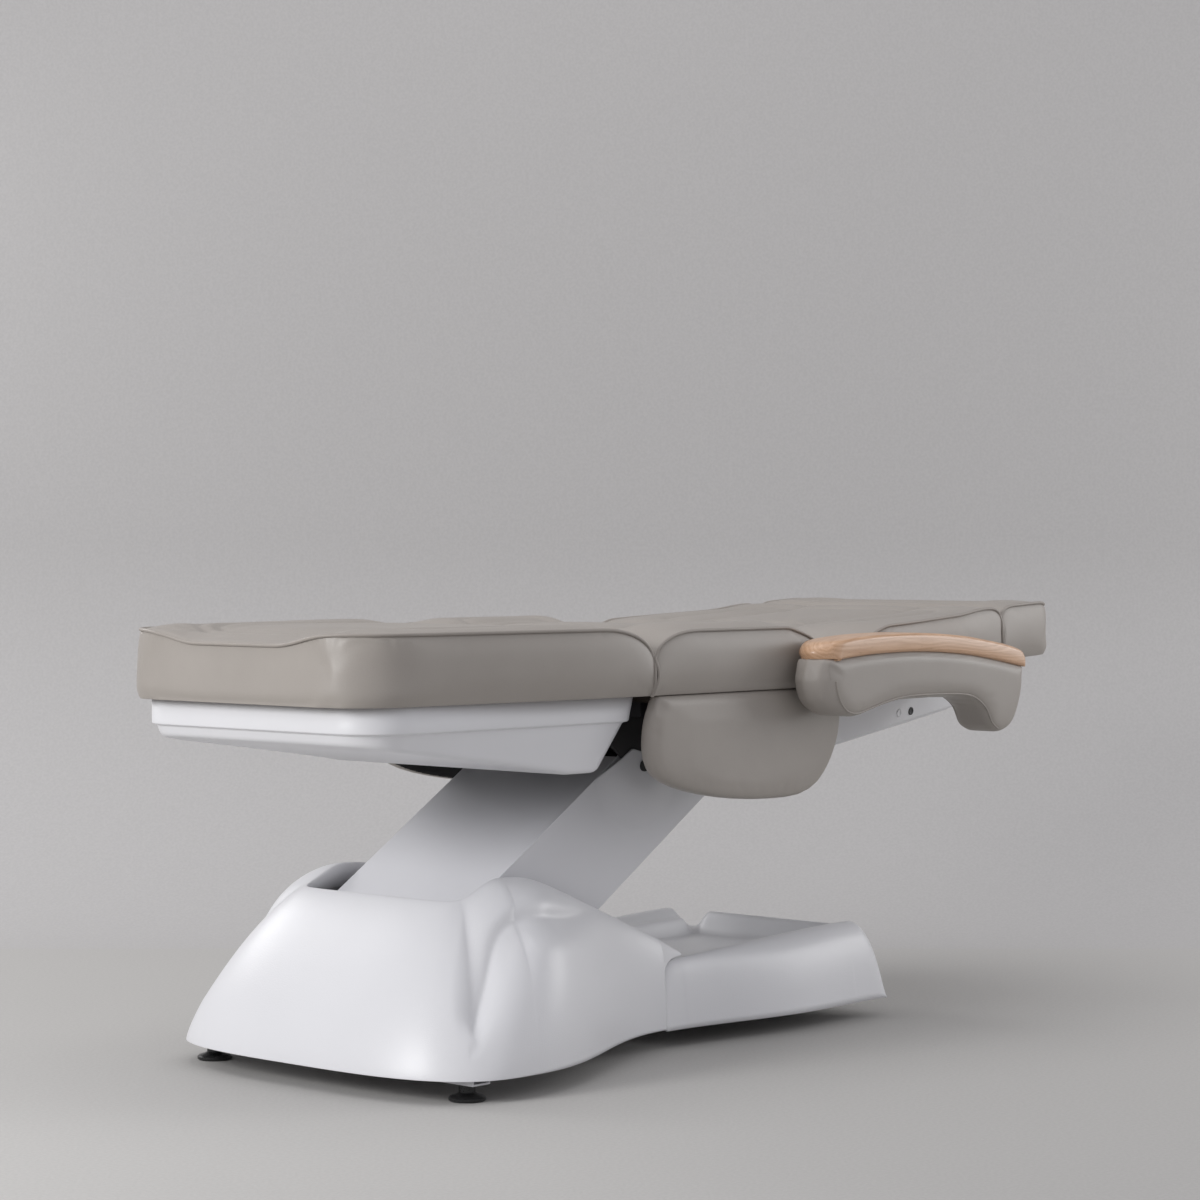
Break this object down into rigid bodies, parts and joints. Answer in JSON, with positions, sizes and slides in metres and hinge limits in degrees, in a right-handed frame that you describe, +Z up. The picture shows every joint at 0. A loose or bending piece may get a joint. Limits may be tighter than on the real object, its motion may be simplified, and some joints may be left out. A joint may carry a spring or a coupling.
{
  "type": "electric beauty bed",
  "caption": "Electric beauty bed: jointed padded leg, seat, back and head sections on a slanted parallel lift arm, with swing-up wood-capped armrests and a moulded base.",
  "frame": {"origin": "on the floor under the middle of the bed's length and width", "axes": "+X from the foot end to the head end, +Y to the far side, +Z up"},
  "size_m": [1.872, 0.891, 0.7794],
  "materials": {
    "leather": "satin taupe synthetic leather",
    "white_shell": "fine textured white moulding",
    "white_steel": "white powder coat",
    "wood": "clear satin varnish",
    "black_steel": "black powder coat",
    "zinc": "zinc plated",
    "rubber": "matt black",
    "board": "raw plywood",
    "motor": "black moulded casing"
  },
  "bodies": {
    "base": {"front_cover": "white_shell", "tail_cover": "white_shell", "front_crossbar": "white_steel", "rear_crossbar": "white_steel", "base_rail_near": "white_steel", "base_rail_far": "white_steel", "pivot_bracket_near": "black_steel", "pivot_bracket_far": "black_steel", "lift_shaft": "zinc", "tie_clevis_beam": "black_steel", "tie_base_pin": "zinc", "motor_beam": "black_steel", "lift_motor": "motor", "control_box": "motor"},
    "lift_arm": {"lift_arm_shell": "white_steel", "lift_link_near": "black_steel", "lift_link_far": "black_steel", "lift_cross_tube": "black_steel", "lift_torque_tube": "black_steel"},
    "lift_rod": {"lift_rod": "zinc"},
    "tie_link": {"tie_link": "black_steel"},
    "seat": {"seat_cushion": "leather", "seat_board": "board", "seat_frame": "black_steel", "seat_flap_near": "leather", "seat_flap_far": "leather", "carriage_plate_near": "black_steel", "carriage_plate_far": "black_steel", "carriage_shaft": "black_steel", "tie_hanger": "black_steel", "tie_top_pin": "zinc", "leg_hinge_pin": "zinc", "back_hinge_pin": "zinc", "leg_motor": "motor", "back_motor_pin": "zinc"},
    "leg": {"leg_cushion": "leather", "leg_board": "board", "leg_frame": "black_steel", "leg_tray": "white_shell"},
    "leg_rod": {"leg_rod": "zinc"},
    "back": {"back_cushion": "leather", "back_board": "board", "back_frame": "black_steel", "back_cover": "white_shell", "armrest_spigot_near": "zinc", "armrest_spigot_far": "zinc", "headrest_hinge_pin": "zinc"},
    "back_motor": {"back_motor": "motor"},
    "back_rod": {"back_rod": "zinc"},
    "headrest": {"headrest_cushion": "leather", "headrest_board": "board", "headrest_frame": "black_steel"},
    "armrest_near": {"armrest_pad_near": "leather", "armrest_cap_near": "wood"},
    "armrest_far": {"armrest_pad_far": "leather", "armrest_cap_far": "wood"},
    "foot_front_near": {"levelling_foot_front_near": "rubber"},
    "foot_front_far": {"levelling_foot_front_far": "rubber"},
    "foot_rear_near": {"levelling_foot_rear_near": "rubber"},
    "foot_rear_far": {"levelling_foot_rear_far": "rubber"}
  },
  "joints": [
    {"name": "lift_raise", "type": "hinge", "parent": "base", "child": "lift_arm", "pos_m": [-0.605, 0, 0.199], "axis": [0, -1, 0], "range_deg": [-5, 24]},
    {"name": "seat_level", "type": "hinge", "parent": "lift_arm", "child": "seat", "pos_m": [-0.13108, 0, 0.49733], "axis": [0, -1, 0], "range_deg": [-24, 5]},
    {"name": "tie_swing", "type": "hinge", "parent": "base", "child": "tie_link", "pos_m": [-0.605, 0, 0.109], "axis": [0, -1, 0], "range_deg": [-5, 24]},
    {"name": "lift_thrust", "type": "slide", "parent": "base", "child": "lift_rod", "axis": [1, 0, 0], "range_m": [-0.009, 0.042]},
    {"name": "leg_fold", "type": "hinge", "parent": "seat", "child": "leg", "pos_m": [-0.29, 0, 0.612], "axis": [0, -1, 0], "range_deg": [0, 25]},
    {"name": "leg_thrust", "type": "slide", "parent": "seat", "child": "leg_rod", "axis": [1, 0, 0], "range_m": [0, 0.0395]},
    {"name": "back_raise", "type": "hinge", "parent": "seat", "child": "back", "pos_m": [0.222, 0, 0.612], "axis": [0, -1, 0], "range_deg": [0, 65]},
    {"name": "back_motor_swing", "type": "hinge", "parent": "seat", "child": "back_motor", "pos_m": [-0.048, -0.225, 0.527], "axis": [0, -1, 0], "range_deg": [0, 18.4]},
    {"name": "back_thrust", "type": "slide", "parent": "back_motor", "child": "back_rod", "axis": [0.9918, 0, -0.1281], "range_m": [0, 0.0975]},
    {"name": "headrest_tilt", "type": "hinge", "parent": "back", "child": "headrest", "pos_m": [0.76625, 0, 0.64052], "axis": [0, 1, 0], "range_deg": [0, 35]},
    {"name": "armrest_near_lift", "type": "hinge", "parent": "back", "child": "armrest_near", "pos_m": [0.59386, -0.3625, 0.62438], "axis": [0, 1, 0], "range_deg": [0, 90]},
    {"name": "armrest_far_lift", "type": "hinge", "parent": "back", "child": "armrest_far", "pos_m": [0.59386, 0.3625, 0.62438], "axis": [0, 1, 0], "range_deg": [0, 90]},
    {"name": "foot_front_near_turn", "type": "hinge", "parent": "base", "child": "foot_front_near", "pos_m": [-0.702, -0.303, 0], "axis": [0, 0, 1], "continuous": true},
    {"name": "foot_front_far_turn", "type": "hinge", "parent": "base", "child": "foot_front_far", "pos_m": [-0.702, 0.303, 0], "axis": [0, 0, 1], "continuous": true},
    {"name": "foot_rear_near_turn", "type": "hinge", "parent": "base", "child": "foot_rear_near", "pos_m": [0.349, -0.09, 0], "axis": [0, 0, 1], "continuous": true},
    {"name": "foot_rear_far_turn", "type": "hinge", "parent": "base", "child": "foot_rear_far", "pos_m": [0.349, 0.09, 0], "axis": [0, 0, 1], "continuous": true}
  ],
  "couplings": [
    {"joint": "seat_level", "follows": "lift_raise", "ratio": -1},
    {"joint": "tie_swing", "follows": "lift_raise", "ratio": 1},
    {"joint": "lift_thrust", "follows": "lift_raise", "m_per_rad": 0.0989},
    {"joint": "leg_thrust", "follows": "leg_fold", "m_per_rad": 0.0893},
    {"joint": "back_motor_swing", "follows": "back_raise", "ratio": 0.281},
    {"joint": "back_thrust", "follows": "back_raise", "m_per_rad": 0.0853}
  ]
}
